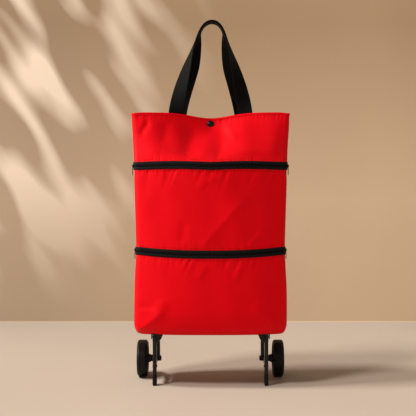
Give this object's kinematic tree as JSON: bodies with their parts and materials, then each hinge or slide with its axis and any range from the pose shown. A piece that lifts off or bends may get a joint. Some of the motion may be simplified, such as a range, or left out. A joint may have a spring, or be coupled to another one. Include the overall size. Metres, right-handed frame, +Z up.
{
  "type": "folding shopping trolley bag",
  "caption": "Tall fabric shopping tote in zipped sections with webbing handles, on two wheel brackets that fold under the base.",
  "frame": {"origin": "on the floor, under the middle of the bag", "axes": "+Z up, X across the bag, -Y towards the front"},
  "size_m": [0.339, 0.17, 0.793],
  "materials": {
    "red_fabric": "woven polyester with a soft sheen",
    "zip_tape": "woven tape",
    "zip_coil": "moulded nylon coil",
    "webbing": "ribbed webbing",
    "zip_metal": "black lacquered",
    "snap": "black lacquered",
    "board": "matte sheet",
    "bracket": "black powder coat",
    "steel": "blackened",
    "foot_rubber": "matte",
    "tyre": "matte rubber",
    "rim": "moulded",
    "bush": "natural nylon"
  },
  "bodies": {
    "base": {"lower_panel": "red_fabric", "bottom_panel": "red_fabric", "base_board": "board", "lower_zip_tape_bottom": "zip_tape", "lower_zip_coil": "zip_coil", "lower_zip_tape_top": "zip_tape", "left_shoe": "bracket", "right_shoe": "bracket", "left_shoe_rivets": "steel", "right_shoe_rivets": "steel", "left_hinge_pin": "steel", "right_hinge_pin": "steel"},
    "upper_bag": {"middle_panel": "red_fabric", "upper_zip_tape_bottom": "zip_tape", "upper_zip_coil": "zip_coil", "upper_zip_tape_top": "zip_tape", "top_rear_panel": "red_fabric", "rear_hem": "red_fabric", "rear_handle_tabs": "webbing", "snap_stud": "snap", "snap_back": "snap"},
    "mouth_front": {"top_front_panel": "red_fabric", "front_hem": "red_fabric", "front_handle_tabs": "webbing", "snap_cap": "snap", "snap_socket": "snap"},
    "front_grip": {"front_handle": "webbing"},
    "rear_grip": {"rear_handle": "webbing"},
    "lower_left_zip_slider": {"lower_left_slider": "zip_metal"},
    "lower_left_zip_pull": {"lower_left_pull": "zip_metal"},
    "lower_right_zip_slider": {"lower_right_slider": "zip_metal"},
    "lower_right_zip_pull": {"lower_right_pull": "zip_metal"},
    "upper_left_zip_slider": {"upper_left_slider": "zip_metal"},
    "upper_left_zip_pull": {"upper_left_pull": "zip_metal"},
    "upper_right_zip_slider": {"upper_right_slider": "zip_metal"},
    "upper_right_zip_pull": {"upper_right_pull": "zip_metal"},
    "left_fold": {"left_bracket": "bracket", "left_leg": "bracket", "left_leg_rivets": "steel", "left_foot": "foot_rubber", "left_axle": "steel", "left_axle_nut": "steel", "left_washer": "steel"},
    "left_wheel": {"left_bush": "bush", "left_rim": "rim", "left_tyre": "tyre", "left_hub_cap": "rim"},
    "right_fold": {"right_bracket": "bracket", "right_leg": "bracket", "right_leg_rivets": "steel", "right_foot": "foot_rubber", "right_axle": "steel", "right_axle_nut": "steel", "right_washer": "steel"},
    "right_wheel": {"right_bush": "bush", "right_rim": "rim", "right_tyre": "tyre", "right_hub_cap": "rim"}
  },
  "joints": [
    {"name": "bag_collapse", "type": "slide", "parent": "base", "child": "upper_bag", "axis": [0, 0, 1], "range_m": [-0.145, 0]},
    {"name": "mouth_open", "type": "slide", "parent": "upper_bag", "child": "mouth_front", "axis": [0, -1, 0], "range_m": [0, 0.035]},
    {"name": "front_handle_swing", "type": "hinge", "parent": "mouth_front", "child": "front_grip", "pos_m": [0, -0.0167, 0.588], "axis": [1, 0, 0], "range_deg": [0, 100]},
    {"name": "rear_handle_swing", "type": "hinge", "parent": "upper_bag", "child": "rear_grip", "pos_m": [0, 0.0153, 0.588], "axis": [1, 0, 0], "range_deg": [-100, 0]},
    {"name": "lower_left_slider_run", "type": "slide", "parent": "base", "child": "lower_left_zip_slider", "axis": [0, 1, 0], "range_m": [-0.006, 0.066]},
    {"name": "lower_left_pull_swing", "type": "hinge", "parent": "lower_left_zip_slider", "child": "lower_left_zip_pull", "pos_m": [-0.1637, -0.03, 0.292], "axis": [1, 0, 0], "range_deg": [-90, 90]},
    {"name": "lower_right_slider_run", "type": "slide", "parent": "base", "child": "lower_right_zip_slider", "axis": [0, 1, 0], "range_m": [-0.006, 0.066]},
    {"name": "lower_right_pull_swing", "type": "hinge", "parent": "lower_right_zip_slider", "child": "lower_right_zip_pull", "pos_m": [0.1637, -0.03, 0.292], "axis": [1, 0, 0], "range_deg": [-90, 90]},
    {"name": "upper_left_slider_run", "type": "slide", "parent": "upper_bag", "child": "upper_left_zip_slider", "axis": [0, 1, 0], "range_m": [-0.006, 0.066]},
    {"name": "upper_left_pull_swing", "type": "hinge", "parent": "upper_left_zip_slider", "child": "upper_left_zip_pull", "pos_m": [-0.1677, -0.03, 0.473], "axis": [1, 0, 0], "range_deg": [-90, 90]},
    {"name": "upper_right_slider_run", "type": "slide", "parent": "upper_bag", "child": "upper_right_zip_slider", "axis": [0, 1, 0], "range_m": [-0.006, 0.066]},
    {"name": "upper_right_pull_swing", "type": "hinge", "parent": "upper_right_zip_slider", "child": "upper_right_zip_pull", "pos_m": [0.1677, -0.03, 0.473], "axis": [1, 0, 0], "range_deg": [-90, 90]},
    {"name": "left_bracket_fold", "type": "hinge", "parent": "base", "child": "left_fold", "pos_m": [-0.11, 0, 0.106], "axis": [0, 1, 0], "range_deg": [-90, 0]},
    {"name": "left_wheel_spin", "type": "hinge", "parent": "left_fold", "child": "left_wheel", "pos_m": [-0.152, 0.042, 0.041], "axis": [1, 0, 0], "continuous": true},
    {"name": "right_bracket_fold", "type": "hinge", "parent": "base", "child": "right_fold", "pos_m": [0.11, 0, 0.106], "axis": [0, 1, 0], "range_deg": [0, 90]},
    {"name": "right_wheel_spin", "type": "hinge", "parent": "right_fold", "child": "right_wheel", "pos_m": [0.152, 0.042, 0.041], "axis": [1, 0, 0], "continuous": true}
  ]
}
